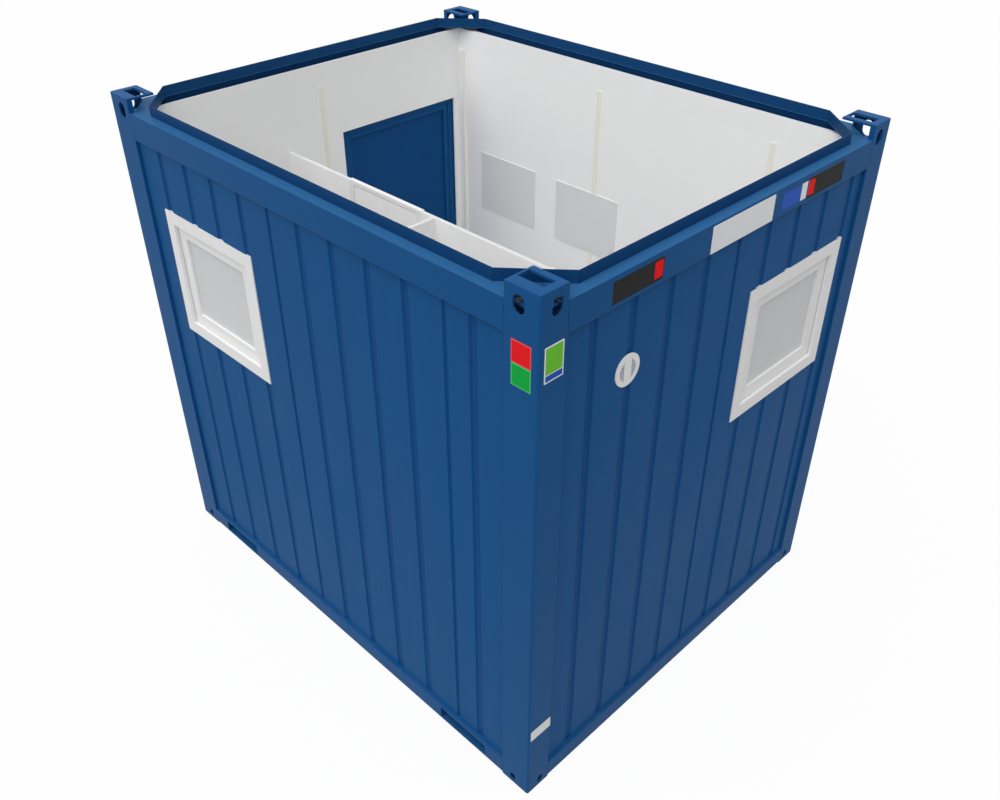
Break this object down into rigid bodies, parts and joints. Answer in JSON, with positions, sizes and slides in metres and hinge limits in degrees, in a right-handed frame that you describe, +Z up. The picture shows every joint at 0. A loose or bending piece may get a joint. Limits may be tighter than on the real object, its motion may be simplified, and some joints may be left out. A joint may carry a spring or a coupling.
{
  "type": "sanitary container",
  "caption": "Open-topped blue steel sanitary container with corner castings, ribbed walls, tilting windows, toilet cabins and wash places inside.",
  "frame": {"origin": "bottom middle of the container, on the ground", "axes": "+X along the long side, +Y along the short side, +Z up"},
  "size_m": [2.989, 2.435, 2.815],
  "materials": {
    "frame_blue": "satin blue paint",
    "sheet_blue": "satin blue coated sheet",
    "galvanised": "galvanised",
    "floor_grey": "board under grey sheet flooring",
    "wool": "mineral wool",
    "lining_white": "white coated board",
    "strip_beige": "matt strip",
    "pvc_white": "white plastic",
    "frosted_glass": "frosted",
    "handle_grey": "satin",
    "steel": "brushed",
    "seal_black": "soft rubber",
    "fan_grey": "matt",
    "sanitary_white": "glazed",
    "seat_white": "gloss",
    "chrome": "polished",
    "mirror": "silvered",
    "plate_black": "matt black",
    "flap_red": "red plastic",
    "pipe_grey": "grey plastic pipe",
    "brass": "plain"
  },
  "bodies": {
    "container": {"corner_posts": "frame_blue", "top_corner_castings": "frame_blue", "bottom_corner_castings": "frame_blue", "top_rails": "frame_blue", "gutter_corners": "frame_blue", "bottom_rails": "frame_blue", "fork_pockets": "frame_blue", "bottom_sheet": "galvanised", "floor_joists": "galvanised", "floor_board": "floor_grey", "front_wall_sheet": "sheet_blue", "right_wall_sheet": "sheet_blue", "back_wall_sheet": "sheet_blue", "left_wall_sheet": "sheet_blue", "insulation": "wool", "wall_linings": "lining_white", "joint_strips": "strip_beige", "front_window_casing": "pvc_white", "end_window_casing": "pvc_white", "window_reveals": "pvc_white", "vent_grille": "pvc_white", "fan_housing": "pvc_white", "entrance_door_frame": "frame_blue", "door_seal": "seal_black", "door_hinge_pins": "steel", "partitions": "lining_white", "cabin_door_frames": "lining_white", "toilet_bowls": "sanitary_white", "toilet_cisterns": "sanitary_white", "washbasins": "sanitary_white", "basin_taps": "chrome", "basin_traps": "chrome", "mirrors": "mirror", "power_boxes": "plate_black", "waste_pipe": "pipe_grey", "water_inlet": "brass"},
    "entrance_door": {"entrance_door_leaf": "frame_blue", "door_hinge_leaves": "steel", "door_lock": "steel"},
    "door_lever": {"door_handle": "steel"},
    "front_sash": {"front_window_sash": "pvc_white", "front_window_glass": "frosted_glass"},
    "front_grip": {"front_window_handle": "handle_grey"},
    "end_sash": {"end_window_sash": "pvc_white", "end_window_glass": "frosted_glass"},
    "end_grip": {"end_window_handle": "handle_grey"},
    "fan": {"fan_impeller": "fan_grey"},
    "cabin_leaf_1": {"cabin_door_1": "lining_white"},
    "cabin_leaf_2": {"cabin_door_2": "lining_white"},
    "latch_1": {"cabin_latch_1": "steel"},
    "latch_2": {"cabin_latch_2": "steel"},
    "seat_1": {"toilet_seat_1": "seat_white"},
    "seat_2": {"toilet_seat_2": "seat_white"},
    "flush_1": {"flush_button_1": "chrome"},
    "flush_2": {"flush_button_2": "chrome"},
    "tap_push_1": {"tap_button_1": "chrome"},
    "tap_push_2": {"tap_button_2": "chrome"},
    "flap_1": {"power_flap_1": "flap_red"},
    "flap_2": {"power_flap_2": "flap_red"}
  },
  "joints": [
    {"name": "entrance_door_swing", "type": "hinge", "parent": "container", "child": "entrance_door", "pos_m": [-1.486, 1.005, 1.195], "axis": [0, 0, -1], "range_deg": [0, 110]},
    {"name": "door_lever_turn", "type": "hinge", "parent": "entrance_door", "child": "door_lever", "pos_m": [-1.4605, 0.2435, 1.2], "axis": [-1, 0, 0], "range_deg": [0, 40], "stiffness_Nm_per_rad": 1.5, "springref_deg": -22.92},
    {"name": "front_window_tilt", "type": "hinge", "parent": "container", "child": "front_sash", "pos_m": [-0.7775, -1.1515, 1.61925], "axis": [-1, 0, 0], "range_deg": [0, 15]},
    {"name": "front_handle_turn", "type": "hinge", "parent": "front_sash", "child": "front_grip", "pos_m": [-0.7775, -1.1415, 2.17675], "axis": [0, 1, 0], "range_deg": [0, 90]},
    {"name": "end_window_tilt", "type": "hinge", "parent": "container", "child": "end_sash", "pos_m": [1.4285, 0.587, 1.61925], "axis": [0, -1, 0], "range_deg": [0, 15]},
    {"name": "end_handle_turn", "type": "hinge", "parent": "end_sash", "child": "end_grip", "pos_m": [1.4185, 0.587, 2.17675], "axis": [-1, 0, 0], "range_deg": [0, 90]},
    {"name": "fan_spin", "type": "hinge", "parent": "container", "child": "fan", "pos_m": [1.3795, -0.6805, 2.265], "axis": [1, 0, 0], "continuous": true},
    {"name": "cabin_door_1_swing", "type": "hinge", "parent": "container", "child": "cabin_leaf_1", "pos_m": [-0.763, -0.264, 1.19], "axis": [0, 0, 1], "range_deg": [0, 95]},
    {"name": "cabin_door_2_swing", "type": "hinge", "parent": "container", "child": "cabin_leaf_2", "pos_m": [0.742, -0.264, 1.19], "axis": [0, 0, 1], "range_deg": [0, 95]},
    {"name": "cabin_latch_1_turn", "type": "hinge", "parent": "cabin_leaf_1", "child": "latch_1", "pos_m": [-0.306, -0.264, 1.2], "axis": [0, 1, 0], "range_deg": [0, 90]},
    {"name": "cabin_latch_2_turn", "type": "hinge", "parent": "cabin_leaf_2", "child": "latch_2", "pos_m": [1.199, -0.264, 1.2], "axis": [0, 1, 0], "range_deg": [0, 90]},
    {"name": "toilet_seat_1_lift", "type": "hinge", "parent": "container", "child": "seat_1", "pos_m": [-1.1655, -0.69775, 0.562], "axis": [0, -1, 0], "range_deg": [0, 92]},
    {"name": "toilet_seat_2_lift", "type": "hinge", "parent": "container", "child": "seat_2", "pos_m": [0.118, -0.69775, 0.562], "axis": [0, -1, 0], "range_deg": [0, 92]},
    {"name": "flush_1_press", "type": "slide", "parent": "container", "child": "flush_1", "axis": [0, 0, -1], "range_m": [0, 0.006], "stiffness_N_per_m": 300, "springref_m": -0.004},
    {"name": "flush_2_press", "type": "slide", "parent": "container", "child": "flush_2", "axis": [0, 0, -1], "range_m": [0, 0.006], "stiffness_N_per_m": 300, "springref_m": -0.004},
    {"name": "tap_1_press", "type": "slide", "parent": "container", "child": "tap_push_1", "axis": [0, 0, -1], "range_m": [0, 0.007], "stiffness_N_per_m": 400, "springref_m": -0.005},
    {"name": "tap_2_press", "type": "slide", "parent": "container", "child": "tap_push_2", "axis": [0, 0, -1], "range_m": [0, 0.007], "stiffness_N_per_m": 400, "springref_m": -0.005},
    {"name": "power_flap_1_lift", "type": "hinge", "parent": "container", "child": "flap_1", "pos_m": [1.4905, -0.5545, 2.703], "axis": [0, -1, 0], "range_deg": [0, 100]},
    {"name": "power_flap_2_lift", "type": "hinge", "parent": "container", "child": "flap_2", "pos_m": [1.4905, 0.5455, 2.703], "axis": [0, -1, 0], "range_deg": [0, 100]}
  ]
}
